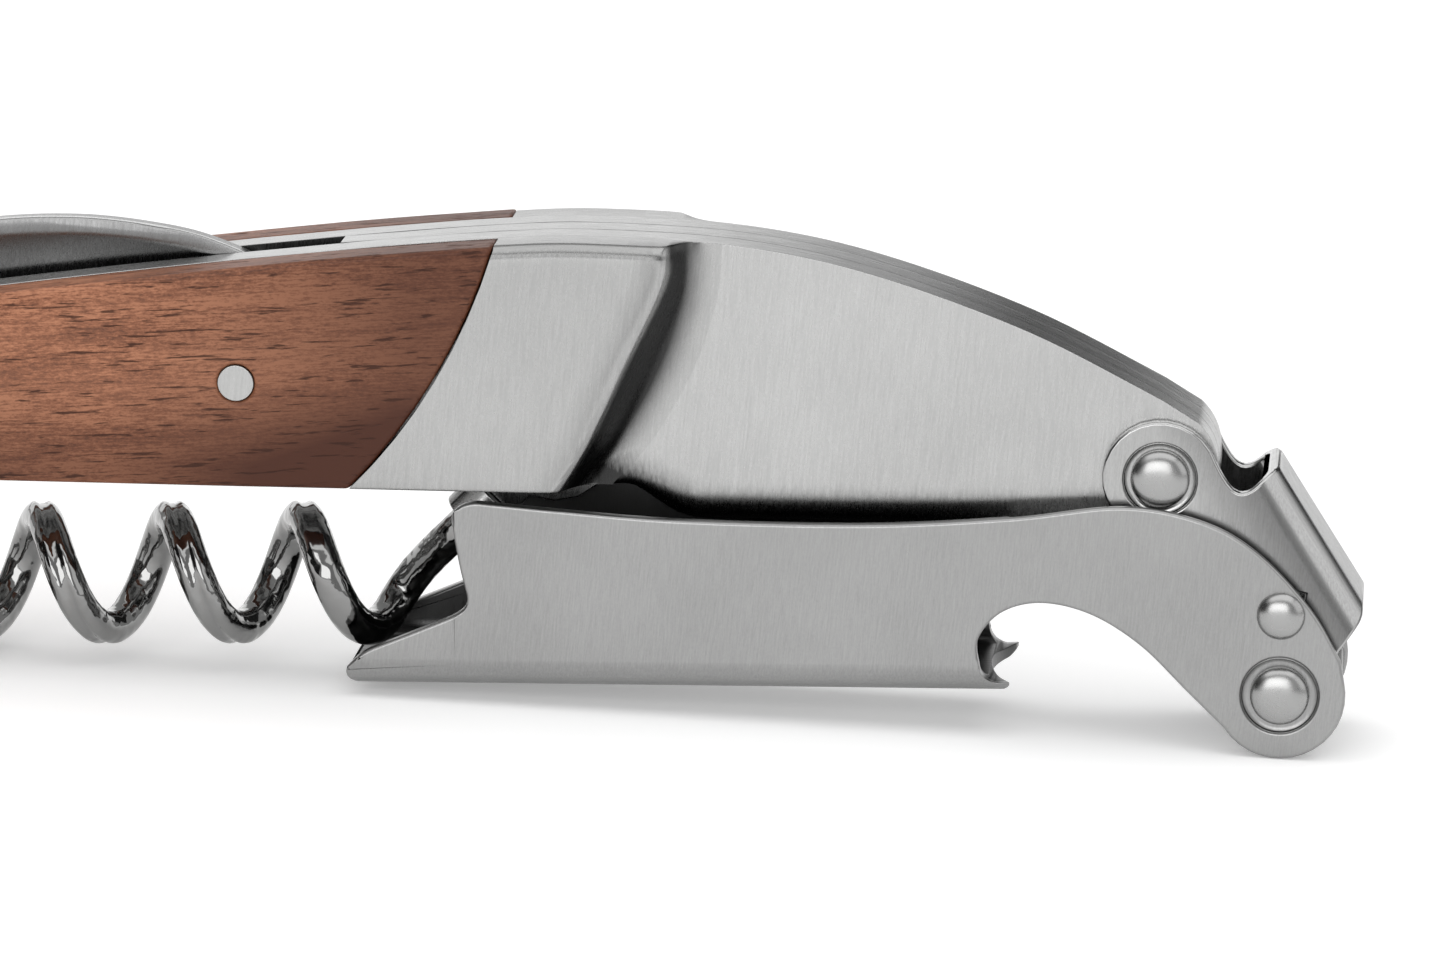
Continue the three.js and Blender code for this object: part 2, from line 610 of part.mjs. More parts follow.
function lever() {
  const webLength = PRONG_TIP - TOE.x;
  const section = channel(LEVER_HALF, LEVER_BEND, webLength + 2, 14);
  section.translate(-2, 0, 0);
  section.rotateY(-WEB_SLOPE);
  section.translate(TOE.x, 0, TOE.y - TOE_RADIUS);
  const bendLine = TOE.y - TOE_RADIUS + LEVER_BEND + 1;
  const pastWeb = PRONG_TIP + 0.3; // clear of the prongs
  const plates = loop([
    [-44, bendLine],
    [pastWeb, bendLine],
    [pastWeb, -20],
    [14, -20],
    [14, 0],
    [-44, 0],
  ]);
  return geometryOf(
    bothSides(plates, LEVER_INSIDE, LEVER_HALF)
      .add(solid(section))
      .intersect(solid(slab(leverOutline(), -LEVER_HALF - 1, LEVER_HALF + 1)))
      .subtract(webEndCut()),
  );
}

add('lever', lever(), STEEL);

// A rivet across the tool with a domed head at each end.
function rivet(centre, shank, head, half) {
  const profile = [];
  const domeSteps = 5;
  for (let i = 0; i <= domeSteps; i += 1) {
    const angle = (i / domeSteps) * (Math.PI / 2);
    profile.push(new THREE.Vector2(head * Math.sin(angle), -half - SEAM - HEAD_HEIGHT * Math.cos(angle)));
  }
  profile.push(new THREE.Vector2(shank, -half - SEAM));
  for (const point of profile.slice().reverse()) profile.push(new THREE.Vector2(point.x, -point.y));
  const geometry = new THREE.LatheGeometry(profile, FACETS);
  geometry.translate(centre.x, 0, centre.y);
  return geometry;
}

add('link_pivot_rivet', rivet(LINK_PIVOT, RIVET_RADIUS, RIVET_HEAD, LINK_HALF), POLISHED);
add('lever_pivot_rivet', rivet(LEVER_PIVOT, RIVET_RADIUS, RIVET_HEAD, LEVER_HALF), POLISHED);
add('lever_stop_pin', rivet(STOP_PIN, STOP_RADIUS, STOP_HEAD, LEVER_HALF), POLISHED);

// Stand the tool on the knuckle and the worm's outermost full coil: the floor touches both from below.

const lowTurn = 1 - WORM.turns;
const coil = new THREE.Vector2(WORM.pitch * lowTurn, -WORM.radius);
coil.rotateAround(new THREE.Vector2(), WORM.slope).add(new THREE.Vector2(WORM.end.x, WORM.end.z));
const span = LEVER_PIVOT.clone().sub(coil);
const tilt = Math.asin((KNUCKLE_RADIUS - WORM.wire) / span.length()) - Math.atan2(span.y, span.x);
corkscrew.rotation.y = -tilt;
const box = new THREE.Box3().setFromObject(corkscrew, true);
const middle = box.getCenter(new THREE.Vector3());
corkscrew.position.set(-middle.x, -middle.y, -box.min.z);

export default corkscrew;
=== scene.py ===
"""The looks of the folding corkscrew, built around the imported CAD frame.

The tool is drawn in its own side view, in millimetres: x along the handle, z up, y its depth, and
the link's pivot at the origin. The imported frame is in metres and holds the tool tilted, and place()
takes a point of the side view to it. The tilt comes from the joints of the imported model. The floor
and the lights are placed in the frame, in metres.
"""

import json
import math

import bmesh
import bpy
from mathutils import Euler, Matrix, Vector


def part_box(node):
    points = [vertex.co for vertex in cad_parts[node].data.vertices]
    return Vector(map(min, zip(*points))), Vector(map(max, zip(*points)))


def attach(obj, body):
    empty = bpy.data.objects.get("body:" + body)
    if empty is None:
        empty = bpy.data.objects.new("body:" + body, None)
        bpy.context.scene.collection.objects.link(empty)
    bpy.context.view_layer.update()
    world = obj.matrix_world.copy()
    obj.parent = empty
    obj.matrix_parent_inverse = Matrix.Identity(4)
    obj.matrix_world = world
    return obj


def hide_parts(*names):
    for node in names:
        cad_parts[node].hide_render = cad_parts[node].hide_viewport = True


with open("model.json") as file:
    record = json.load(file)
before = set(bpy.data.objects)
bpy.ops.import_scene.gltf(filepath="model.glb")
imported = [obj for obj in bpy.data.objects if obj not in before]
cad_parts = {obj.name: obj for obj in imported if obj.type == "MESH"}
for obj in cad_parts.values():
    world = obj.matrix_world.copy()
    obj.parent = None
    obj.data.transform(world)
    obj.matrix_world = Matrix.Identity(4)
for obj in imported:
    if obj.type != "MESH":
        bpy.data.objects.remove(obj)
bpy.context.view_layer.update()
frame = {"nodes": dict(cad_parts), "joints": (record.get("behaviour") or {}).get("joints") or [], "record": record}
MM = 0.001

# The side view in the frame: the link's pivot is its origin, and the knife's pivot gives the tilt.
PIVOT = {joint["name"]: Vector(joint["pos_m"]) for joint in frame["joints"]}
ORIGIN = PIVOT["link_swing"]
KNIFE_PIVOT = (-99.5, 2.7)  # x and z in the side view
KNIFE_SLOPE = math.atan2(KNIFE_PIVOT[1], KNIFE_PIVOT[0])
KNIFE_LINE = PIVOT["knife_swing"] - ORIGIN
TILT = math.atan2(KNIFE_LINE.z, KNIFE_LINE.x) % math.tau - KNIFE_SLOPE % math.tau
TO_FRAME = Matrix.Translation(ORIGIN) @ Matrix.Rotation(-TILT, 4, "Y")
TO_SIDE_VIEW = TO_FRAME.inverted()


def place(x, y, z):
    """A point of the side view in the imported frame."""
    return TO_FRAME @ Vector((x * MM, y * MM, z * MM))


def side_view(point):
    """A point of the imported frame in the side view."""
    return (TO_SIDE_VIEW @ Vector(point)) / MM


# Materials. Their textures lie in the side view, in millimetres.


class Material:
    """A node material with a Principled shader, and short calls for the nodes that feed it."""

    def __init__(self, name, **values):
        self.material = bpy.data.materials.new(name)
        self.material.use_nodes = True
        self.tree = self.material.node_tree
        self.shader = self.tree.nodes["Principled BSDF"]
        for socket, value in values.items():
            self.shader.inputs[socket.replace("_", " ").title()].default_value = value
        coordinates = self.add("ShaderNodeTexCoord").outputs["Object"]
        turned = self.add("ShaderNodeMapping", vector_type="TEXTURE")
        turned.inputs["Location"].default_value = ORIGIN
        turned.inputs["Rotation"].default_value = (0, -TILT, 0)
        turned.inputs["Scale"].default_value = (MM, MM, MM)
        self.link(coordinates, turned.inputs["Vector"])
        self.here = turned.outputs["Vector"]

    def add(self, kind, **settings):
        node = self.tree.nodes.new(kind)
        for key, value in settings.items():
            setattr(node, key, value)
        return node

    def link(self, source, target):
        """Links a socket to the target, or sets the target to a plain value."""
        if isinstance(source, bpy.types.NodeSocket):
            self.tree.links.new(source, target)
        else:
            target.default_value = source

    def split(self, vector):
        """The X, Y and Z of a vector."""
        node = self.add("ShaderNodeSeparateXYZ")
        self.link(vector, node.inputs["Vector"])
        return node.outputs

    def normal(self):
        """The way that the surface faces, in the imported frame."""
        return self.add("ShaderNodeTexCoord").outputs["Normal"]

    def stretched(self, scale, turn):
        """The side view's coordinates turned about y and scaled, for a texture drawn out one way."""
        rotated = self.add("ShaderNodeMapping", vector_type="POINT")
        rotated.inputs["Rotation"].default_value = (0, turn, 0)
        self.link(self.here, rotated.inputs["Vector"])
        scaled = self.add("ShaderNodeMapping", vector_type="POINT")
        scaled.inputs["Scale"].default_value = scale
        self.link(rotated.outputs["Vector"], scaled.inputs["Vector"])
        return scaled.outputs["Vector"]

    def noise(self, scale, detail=2.0, roughness=0.5, distortion=0.0, turn=0.0):
        """Noise that varies scale times per millimetre along x, y and z."""
        node = self.add("ShaderNodeTexNoise")
        self.link(self.stretched(scale, turn), node.inputs["Vector"])
        node.inputs["Scale"].default_value = 1.0
        node.inputs["Detail"].default_value = detail
        node.inputs["Roughness"].default_value = roughness
        node.inputs["Distortion"].default_value = distortion
        return node.outputs["Fac"]

    def ranged(self, value, low, high, to_low, to_high):
        """The value taken from one range to another, and held at its ends."""
        node = self.add("ShaderNodeMapRange")
        for socket, number in zip(node.inputs, (value, low, high, to_low, to_high)):
            self.link(number, socket)
        return node.outputs["Result"]

    def maths(self, operation, a, b=0.0):
        node = self.add("ShaderNodeMath", operation=operation)
        self.link(a, node.inputs[0])
        self.link(b, node.inputs[1])
        return node.outputs["Value"]

    def plus(self, a, b):
        return self.maths("ADD", a, b)

    def times(self, a, b):
        return self.maths("MULTIPLY", a, b)

    def mixed(self, share, a, b):
        node = self.add("ShaderNodeMix", data_type="RGBA")
        self.link(share, node.inputs["Factor"])
        for value, socket in ((a, node.inputs[6]), (b, node.inputs[7])):
            self.link(value if isinstance(value, bpy.types.NodeSocket) else (*value, 1.0), socket)
        return node.outputs[2]

    def facing_up(self):
        """1 on faces that look up or down in the side view, 0 on its sides."""
        across = self.add("ShaderNodeVectorMath", operation="DOT_PRODUCT")
        self.link(self.normal(), across.inputs[0])
        across.inputs[1].default_value = (0.0, 1.0, 0.0)
        return self.ranged(self.maths("POWER", across.outputs["Value"], 2.0), 0.3, 0.6, 1.0, 0.0)

    def bump(self, height, strength, depth):
        """Adds a bump, in millimetres, to whatever the shader's normal already has."""
        node = self.add("ShaderNodeBump")
        node.inputs["Strength"].default_value = strength
        node.inputs["Distance"].default_value = depth * MM
        self.link(height, node.inputs["Height"])
        if self.shader.inputs["Normal"].is_linked:
            self.link(self.shader.inputs["Normal"].links[0].from_socket, node.inputs["Normal"])
        self.link(node.outputs["Normal"], self.shader.inputs["Normal"])


def shade(tone, share):
    """A darker or lighter colour."""
    return tuple(min(1.0, share * value) for value in tone)


BRUSH_LEAN = math.radians(-6.0)  # the brushing leans to the right at its top
# The colour of the painted shade and dark reflections laid over the steel.
PAINTED_SHADE_COLOUR = (0.022, 0.022, 0.022)


def brushed_steel(name, tone, roughness, across=9.0, along=0.22, depth=0.006, top=1.0, painted_shade=None):
    """Satin steel with fine scratches that run up the side view.

    across and along say how often the scratches vary per millimetre, and depth how deep they are.
    top is how much brighter faces that look up are painted, a painted highlight, and the last argument gives the
    share of painted shade and dark reflection.
    """
    steel = Material(name, metallic=1.0)
    edge_on = steel.facing_up()
    up_the_side = steel.noise((across, across, along), detail=4.0, roughness=0.7, turn=BRUSH_LEAN)
    along_the_edge = steel.noise((along, across, along), detail=4.0, roughness=0.7)
    scratches = steel.mixed(edge_on, up_the_side, along_the_edge)
    grains = steel.noise((across, across, 0.5 * across), detail=2.0, roughness=0.7)
    clouds = steel.noise((0.11, 0.11, 0.11), detail=2.0)
    fine = steel.plus(scratches, steel.times(grains, 0.4))
    gloss = steel.ranged(fine, 0.55, 0.95, roughness + 0.07, roughness - 0.05)
    steel.link(gloss, steel.shader.inputs["Roughness"])
    light = steel.ranged(steel.plus(fine, steel.times(clouds, 0.5)), 0.72, 1.28, 0.0, 1.0)
    colour = steel.mixed(light, shade(tone, 0.85), shade(tone, 1.10))
    # A painted highlight on faces that look up.
    if top != 1.0:
        colour = steel.mixed(edge_on, colour, shade(tone, top))
    # Painted shade and dark reflection over the steel's colour.
    if painted_shade:
        colour = steel.mixed(painted_shade(steel), colour, PAINTED_SHADE_COLOUR)
    steel.link(colour, steel.shader.inputs["Base Color"])
    steel.bump(scratches, 0.5, depth)
    return steel.material


# Where shade and dark reflections are painted into the steel. Each function gives the share of painted shade, from
# 0 to 1.

HEAD_BOTTOM = -3.5  # the head's underside
HEAD_STEP = (-32.4, -1.28)  # x and z where the underside steps down from the handle to the head
HEAD_STEP_FACING = (0.478, 0.878)  # x and z of the way square to that step
# Painted shade along the head's underside:
HEAD_PAINTED_SHADE = (0.5, 2.7)  # dark up to the first height over the underside, and none past the second
HEAD_PAINTED_SHADE_START = (-35.5, -34.0)  # it comes in over this stretch of x
# A painted dark reflection along the head's spine:
SPINE_PAINTED_REFLECTION = (-30.0, -19.0)  # the head's spine darkens over this stretch of x
SPINE_END = (-3.0, 1.0)  # and lightens again over this one, at the link
SEAM_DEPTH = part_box("centre_frame_plate")[1][1] / MM  # of the seams between the frame's plates
# Painted shade along the seams between the plates:
SEAM_PAINTED_SHADE = (0.03, 0.11)  # dark up to the first distance from a seam, and none past the second
LEVER_INSIDE = 4.65  # half the width of the lever's channel
LINK_WEB_WAY = (0.863, 0.505)  # x and z of the way across the link, towards its web
# Painted shade and dark reflection on the link's sides:
LINK_PAINTED_SHADE = (1.0, 5.2)  # its sides darken over this stretch of that way


def head_painted_shading(steel):
    """Painted shade along the head's underside, fading upwards, for the dark reflections there."""
    x, _, z = steel.split(steel.here)
    level = steel.plus(z, -HEAD_BOTTOM)
    past_step = steel.times(steel.plus(x, -HEAD_STEP[0]), HEAD_STEP_FACING[0])
    over_step = steel.times(steel.plus(z, -HEAD_STEP[1]), HEAD_STEP_FACING[1])
    over_underside = steel.maths("MINIMUM", level, steel.plus(past_step, over_step))
    ragged = steel.ranged(steel.noise((6.0, 6.0, 1.2), detail=3.0), 0.3, 0.7, -0.25, 0.25)
    dark = steel.ranged(steel.plus(over_underside, ragged), *HEAD_PAINTED_SHADE, 1.0, 0.0)
    start = steel.ranged(x, *HEAD_PAINTED_SHADE_START, 0.0, 1.0)
    return steel.times(steel.times(steel.maths("POWER", dark, 1.6), 0.95), start)


def bolster_painted_shading(steel):
    """The painted shade that the mesh carries on its vertices, or the head's painted shade where that is darker.
    """
    carried = steel.add("ShaderNodeAttribute", attribute_name="painted_shade").outputs["Fac"]
    return steel.maths("MAXIMUM", carried, head_painted_shading(steel))


def frame_painted_shading(steel):
    """Painted shade: the head's, a painted dark reflection along its spine, and a line of painted shade along each
    seam between the plates.
    """
    x, y, _ = steel.split(steel.here)
    spine = steel.times(steel.facing_up(), steel.ranged(x, *SPINE_PAINTED_REFLECTION, 0.0, 0.84))
    end = steel.ranged(x, *SPINE_END, 1.0, 0.3)
    off_seam = steel.maths("ABSOLUTE", steel.plus(steel.maths("ABSOLUTE", y), -SEAM_DEPTH))
    seam_shade = steel.ranged(off_seam, *SEAM_PAINTED_SHADE, 0.85, 0.0)
    seam_and_spine_shade = steel.maths("MAXIMUM", seam_shade, steel.times(spine, end))
    return steel.maths("MAXIMUM", seam_and_spine_shade, head_painted_shading(steel))


def lever_painted_shading(steel):
    """Painted shade inside the lever's channel, but not where it faces down."""
    off_middle = steel.maths("ABSOLUTE", steel.split(steel.here)["Y"])
    inside = steel.ranged(off_middle, LEVER_INSIDE - 0.02, LEVER_INSIDE + 0.08, 0.88, 0.0)
    return steel.times(inside, steel.ranged(steel.split(steel.normal())["Z"], -0.7, -0.5, 0.0, 1.0))


def link_painted_shading(steel):
    """Painted shade and dark reflection towards the web on the link's sides, and on the web itself."""
    x, _, z = steel.split(steel.here)
    towards_web = steel.plus(steel.times(x, LINK_WEB_WAY[0]), steel.times(z, LINK_WEB_WAY[1]))
    facing = steel.split(steel.normal())
    sideways = steel.ranged(steel.maths("ABSOLUTE", facing["Y"]), 0.9, 0.99, 0.0, 1.0)
    sides = steel.times(steel.ranged(towards_web, *LINK_PAINTED_SHADE, 0.05, 0.68), sideways)
    return steel.maths("MAXIMUM", sides, steel.ranged(facing["X"], 0.62, 0.84, 0.0, 0.72))


def polished_steel(name, tone, roughness, dents=0.0):
    """Mirror-polished steel with faint smears, and shallow dents where it was wound."""
    steel = Material(name, metallic=1.0)
    smears = steel.noise((0.9, 0.9, 0.9), detail=4.0, roughness=0.6)
    gloss = steel.ranged(smears, 0.3, 0.7, roughness, roughness + 0.07)
    steel.link(gloss, steel.shader.inputs["Roughness"])
    steel.link(steel.mixed(smears, shade(tone, 0.9), tone), steel.shader.inputs["Base Color"])
    scratches = steel.noise((14.0, 14.0, 3.0), detail=2.0)
    steel.bump(scratches, 0.2, 0.002)
    if dents:
        steel.bump(steel.noise((0.75, 0.75, 0.75), detail=1.5), 1.0, dents)
    return steel.material


WOOD_GRAIN = math.radians(3.5)  # the grain climbs towards the head
WOOD_TONES = (
    (0.33, (0.060, 0.018, 0.009)),
    (0.44, (0.19, 0.066, 0.031)),
    (0.56, (0.39, 0.165, 0.088)),
)
WOOD_PATCH = (0.42, 0.19, 0.11)
WOOD_PORE = (0.035, 0.012, 0.007)
WOOD_SHADOW = (0.055, 0.014, 0.005)
WOOD_HEAD_END = (-64.0, -45.0)  # it darkens over this stretch of x, towards the head
WOOD_UNDERSIDE = (0.0, 5.5)  # and lightens over this stretch of z, upwards from its underside


def wood(name):
    """Open-pored reddish-brown hardwood: bands along the grain, fine flecks, and short dark pores."""
    timber = Material(name, metallic=0.0)
    timber.shader.inputs["Specular IOR Level"].default_value = 0.25
    bands = timber.noise((0.05, 0.5, 0.55), detail=5.0, roughness=0.6, distortion=0.6, turn=WOOD_GRAIN)
    fibres = timber.noise((0.6, 7.0, 7.5), detail=4.0, roughness=0.65, turn=WOOD_GRAIN)
    flecks = timber.noise((3.4, 8.0, 8.0), detail=3.0, roughness=0.7, turn=WOOD_GRAIN)
    pores = timber.noise((0.42, 4.2, 4.6), detail=2.5, roughness=0.55, distortion=0.25, turn=WOOD_GRAIN)
    patches = timber.noise((0.03, 0.2, 0.13), detail=2.0, turn=WOOD_GRAIN)
    ramp = timber.add("ShaderNodeValToRGB")
    ramp.color_ramp.elements.new(0.5)
    for element, (position, colour) in zip(ramp.color_ramp.elements, WOOD_TONES):
        element.position = position
        element.color = (*colour, 1.0)
    timber.link(timber.plus(timber.times(bands, fibres), timber.times(flecks, 0.45)), ramp.inputs["Fac"])
    patch = timber.ranged(patches, 0.35, 0.65, 0.0, 0.35)
    lit = timber.mixed(patch, ramp.outputs["Color"], WOOD_PATCH)
    x, _, z = timber.split(timber.here)
    head_end = timber.ranged(x, *WOOD_HEAD_END, 0.0, 0.78)
    underside = timber.ranged(z, *WOOD_UNDERSIDE, 0.62, 0.0)
    shaded = timber.mixed(timber.plus(head_end, underside), lit, WOOD_SHADOW)
    pore = timber.ranged(pores, 0.60, 0.67, 0.0, 1.0)
    pored = timber.mixed(timber.times(pore, 0.85), shaded, WOOD_PORE)
    timber.link(pored, timber.shader.inputs["Base Color"])
    timber.link(timber.ranged(pore, 0.0, 1.0, 0.42, 0.75), timber.shader.inputs["Roughness"])
    timber.bump(fibres, 0.35, 0.02)
    timber.bump(timber.maths("SUBTRACT", 1.0, pore), 0.6, 0.05)
    return timber.material


# The frame, bolster, lever and link steels carry painted shade and dark reflections; the blade's back carries a
# painted highlight.
FRAME_STEEL = brushed_steel("frame_steel", (0.44, 0.44, 0.437), 0.26, along=0.5, painted_shade=frame_painted_shading)
BOLSTER_STEEL = brushed_steel("bolster_steel", (0.40, 0.40, 0.397), 0.26, along=0.5, painted_shade=bolster_painted_shading)
LEVER_STEEL = brushed_steel("lever_steel", (0.325, 0.325, 0.323), 0.32, along=0.6, painted_shade=lever_painted_shading)
PIN_STEEL = brushed_steel("pin_steel", (0.42, 0.42, 0.415), 0.3, across=7.0)
BLADE_STEEL = brushed_steel("blade_steel", (0.19, 0.19, 0.19), 0.24, across=6.0, along=0.4, top=3.6)
LINK_STEEL = brushed_steel(
    "link_steel", (0.42, 0.42, 0.417), 0.2, along=0.6, depth=0.003, painted_shade=link_painted_shading
)
DOME_STEEL = polished_steel("dome_steel", (0.37, 0.37, 0.367), 0.24)
WORM_STEEL = polished_steel("worm_steel", (0.28, 0.28, 0.277), 0.06, dents=0.16)
ROSEWOOD = wood("scale_wood")

# Surfaces that stand for CAD nodes, and the mesh work that they share.

FACET = math.radians(0.6)  # faces that turn less than this lie in one plane
SHARP = math.radians(33)  # edges that turn more than this are rounded
ONE_POINT = 0.001 * MM  # corners nearer than this are one
SNAP = 0.06 * MM  # a cut nearer than this to a corner goes through it
SHORT_EDGE = 0.02 * MM
FLAT_AREA = (1.5 * MM) ** 2  # the smallest flat that is levelled
SLIVER_AREA = (0.003 * MM) ** 2
SLIVER_EDGE = 0.0005 * MM


def centre_line(node):
    """Where a pin stands along the side view."""
    low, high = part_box(node)
    return side_view((Vector(low) + Vector(high)) / 2).x


PINS = [node for node in frame["nodes"] if "pin" in node or "rivet" in node]
PIN_LINES = sorted({round(centre_line(node), 3) for node in PINS})


def body_of(node):
    bodies = frame["record"]["behaviour"]["bodies"]
    return next(body for body, nodes in bodies.items() if node in nodes)


def mesh_object(name, mesh):
    data = bpy.data.meshes.new(name)
    mesh.normal_update()
    mesh.to_mesh(data)
    mesh.free()
    piece = bpy.data.objects.new(name, data)
    bpy.context.scene.collection.objects.link(piece)
    return piece


def surface_of(node, mesh, material):
    """The mesh as the piece that stands for a CAD node: smooth, but with its flats kept flat."""
    piece = mesh_object(node + "_surface", mesh)
    piece.data.materials.append(material)
    for polygon in piece.data.polygons:
        polygon.use_smooth = True
    weighted = piece.modifiers.new("flat_faces", "WEIGHTED_NORMAL")
    weighted.keep_sharp = True
    weighted.weight = 100
    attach(piece, body_of(node))
    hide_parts(node)


def with_modifiers(piece):
    """A new mesh of the piece as its modifiers leave it."""
    graph = bpy.context.evaluated_depsgraph_get()
    return bpy.data.meshes.new_from_object(piece.evaluated_get(graph))


def join_flats(mesh):
    """Joins the faces of each flat, parted along a line through each pin so that none has a hole."""
    along = TO_FRAME.to_3x3() @ Vector((1, 0, 0))
    for x in PIN_LINES:
        whole = mesh.verts[:] + mesh.edges[:] + mesh.faces[:]
        line = place(x, 0, 0)
        cut = bmesh.ops.bisect_plane(mesh, geom=whole, dist=SNAP, plane_co=line, plane_no=along)
        for item in cut["geom_cut"]:
            if isinstance(item, bmesh.types.BMEdge):
                item.seam = True
    flats = {"verts": mesh.verts, "edges": mesh.edges}
    bmesh.ops.dissolve_limit(mesh, angle_limit=FACET, delimit={"SEAM"}, **flats)


def level_flats(mesh):
    """Puts the corners of every face that looks along y exactly at that face's depth."""
    for face in mesh.faces:
        if abs(face.normal.y) > 0.9999 and face.calc_area() > FLAT_AREA:
            depth = sum(vertex.co.y for vertex in face.verts) / len(face.verts)
            for vertex in face.verts:
                vertex.co.y = depth
    mesh.normal_update()
    slivers = [face for face in mesh.faces if face.calc_area() < SLIVER_AREA]
    edges = list({edge for face in slivers for edge in face.edges})
    bmesh.ops.dissolve_degenerate(mesh, dist=SLIVER_EDGE, edges=edges)


def clean_copy(node):
    """The node's solid with the triangles of each flat face joined."""
    mesh = bmesh.new()
    mesh.from_mesh(frame["nodes"][node].data)
    bmesh.ops.remove_doubles(mesh, verts=mesh.verts, dist=ONE_POINT)
    join_flats(mesh)
    bmesh.ops.dissolve_degenerate(mesh, dist=SHORT_EDGE, edges=mesh.edges)
    level_flats(mesh)
    return mesh


def carve(mesh, cutters, operation="DIFFERENCE"):
    """The solid with the cutters taken out of it, or kept only where they are."""
    target = mesh_object("carved", mesh)
    for cutter in cutters:
        tool = mesh_object("cutter", cutter)
        cut = target.modifiers.new("cut", "BOOLEAN")
        cut.operation = operation
        cut.solver = "EXACT"
        cut.object = tool
        result = with_modifiers(target)
        target.modifiers.clear()
        target.data = result
        bpy.data.objects.remove(tool)
    carved = bmesh.new()
    carved.from_mesh(target.data)
    bpy.data.objects.remove(target)
    bmesh.ops.remove_doubles(carved, verts=carved.verts, dist=ONE_POINT)
    join_flats(carved)
    level_flats(carved)
    return carved


def is_sharp(edge):
    return edge.is_manifold and edge.calc_face_angle() > SHARP


def round_edges(mesh, radius, segments):
    """Rounds the sharp edges."""
    bmesh.ops.bevel(
        mesh,
        geom=[edge for edge in mesh.edges if is_sharp(edge)],
        offset=radius * MM,
        offset_type="OFFSET",
        segments=segments,
        profile=0.5,
        affect="EDGES",
        clamp_overlap=False,
    )


def round_unevenly(mesh, radius, segments, share):
    """Rounds the sharp edges; share gives each edge's part of the radius from its middle."""
    weights = mesh.edges.layers.float.new("bevel_weight_edge")
    for edge in mesh.edges:
        if is_sharp(edge):
            edge[weights] = share(side_view((edge.verts[0].co + edge.verts[1].co) / 2))
    piece = mesh_object("sharp", mesh)
    bevel = piece.modifiers.new("edges", "BEVEL")
    bevel.limit_method = "WEIGHT"
    bevel.offset_type = "OFFSET"
    bevel.width = radius * MM
    bevel.segments = segments
    bevel.use_clamp_overlap = False
    rounded = bmesh.new()
    rounded.from_mesh(with_modifiers(piece))
    bpy.data.objects.remove(piece)
    return rounded


def rounded_node(node, radius, material, segments=3, cutters=(), share=None):
    """The CAD node again, with rounded edges and whatever the cutters take out of it."""
    mesh = clean_copy(node)
    if cutters:
        mesh = carve(mesh, cutters)
    if share:
        mesh = round_unevenly(mesh, radius, segments, share)
    else:
        round_edges(mesh, radius, segments)
    surface_of(node, mesh, material)


def lathe(profile, centre, sides=64, side=-1):
    """A turned solid along y: profile holds (radius, y) pairs from axis to axis."""
    mesh = bmesh.new()
    rings = []
    for radius, y in profile:
        if radius == 0:
            rings.append([mesh.verts.new(place(centre[0], side * y, centre[1]))])
            continue
        ring = []
        for k in range(sides):
            angle = math.tau * k / sides
            x = centre[0] + radius * math.cos(angle)
            ring.append(mesh.verts.new(place(x, side * y, centre[1] + radius * math.sin(angle))))
        rings.append(ring)
    for low, high in zip(rings, rings[1:]):
        for k in range(sides):
            corners = [low[k % len(low)], low[(k + 1) % len(low)]]
            corners += [high[(k + 1) % len(high)], high[k % len(high)]]
            mesh.faces.new(list(dict.fromkeys(corners)))
    bmesh.ops.recalc_face_normals(mesh, faces=mesh.faces)
    return mesh


def skin(mesh, loops):
    """Faces from each closed loop of vertices to the next, and one across each end."""
    count = len(loops[0])
    for low, high in zip(loops, loops[1:]):
        for k in range(count):
            mesh.faces.new((low[k], low[(k + 1) % count], high[(k + 1) % count], high[k]))
    mesh.faces.new(loops[0])
    mesh.faces.new(loops[-1])
    bmesh.ops.recalc_face_normals(mesh, faces=mesh.faces)
    return mesh


def outline(node, y):
    """The node's edges that lie at a depth y of the side view and bound a flat face there."""
    nearness, fold = 0.01, 0.3
    mesh = clean_copy(node)
    found = []
    for edge in mesh.edges:
        ends = [side_view(vertex.co) for vertex in edge.verts]
        if all(abs(end.y - y) < nearness for end in ends) and edge.calc_face_angle(0) > fold:
            found.append(ends)
    mesh.free()
    return found


def crossings(segments, value, across="x"):
    """Where an outline crosses a line of constant x or z: the other coordinate, in rising order."""
    other = "z" if across == "x" else "x"
    found = []
    for a, b in segments:
        start, end = getattr(a, across), getattr(b, across)
        if (start - value) * (end - value) < 0:
            share = (value - start) / (end - start)
            found.append(getattr(a, other) + share * (getattr(b, other) - getattr(a, other)))
    return sorted(found)


def quarter_turn(steps):
    """How far a rounding of size 1 still is from each of its two faces, from one face to the other."""
    angles = [k / steps * math.pi / 2 for k in range(steps + 1)]
    return [(1 - math.cos(angle), 1 - math.sin(angle)) for angle in angles]


# The frame, the bolsters, the scales and the pins.

FRAME_HALF = 3.3  # half the depth of the frame
HANDLE_HALF = 6.3  # and of the handle
CLEAR = 0.004  # by which a piece or a cutter stands off a face of the frame

ROLL_FRONT, ROLL_END = -33.9, -3.2  # x where the roll along the head's underside starts and ends
ROLL_SIZE = (1.15, 2.3)  # how far it goes in and up
ROLL_FIRST = 0.06  # the share of its size that it starts with
ROLL_RUN_IN = 4.0  # and the length over which it grows by the whole of it


